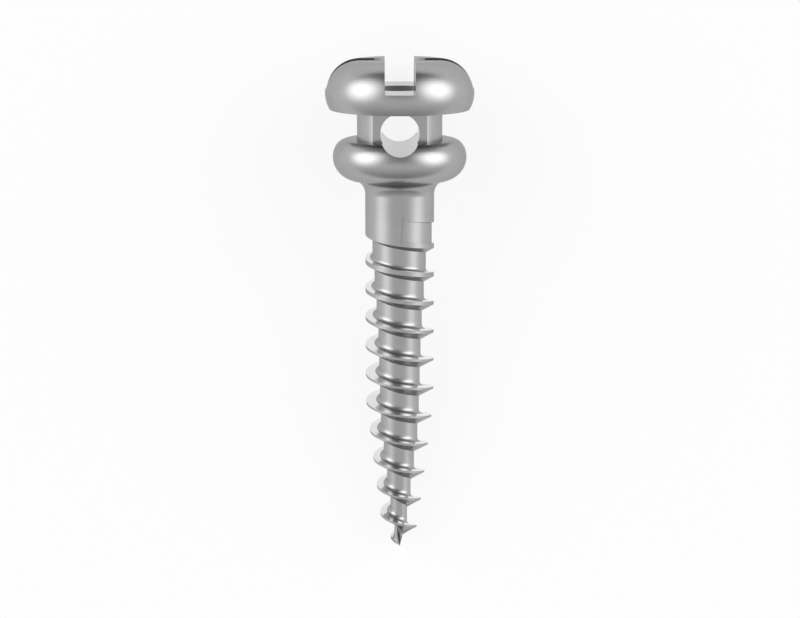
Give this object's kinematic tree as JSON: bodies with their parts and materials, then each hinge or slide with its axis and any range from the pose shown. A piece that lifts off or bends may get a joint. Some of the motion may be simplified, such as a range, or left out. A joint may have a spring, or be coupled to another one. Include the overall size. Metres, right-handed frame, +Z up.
{
  "type": "orthodontic mini screw",
  "caption": "Bone screw with a slotted button head, pierced neck, round flange, smooth collar and a left-handed self-drilling thread.",
  "frame": {"origin": "on the surface the screw lies on, below the middle of its bounding box", "axes": "+Y from the tip towards the head, +Z up, away from the surface the screw lies on, +X to the right seen from above with the head up the page"},
  "size_m": [0.003, 0.0102, 0.003],
  "materials": {
    "turned_titanium": "satin turned titanium alloy, bare metal"
  },
  "bodies": {
    "root": {"mini_screw": "turned_titanium"}
  },
  "joints": []
}
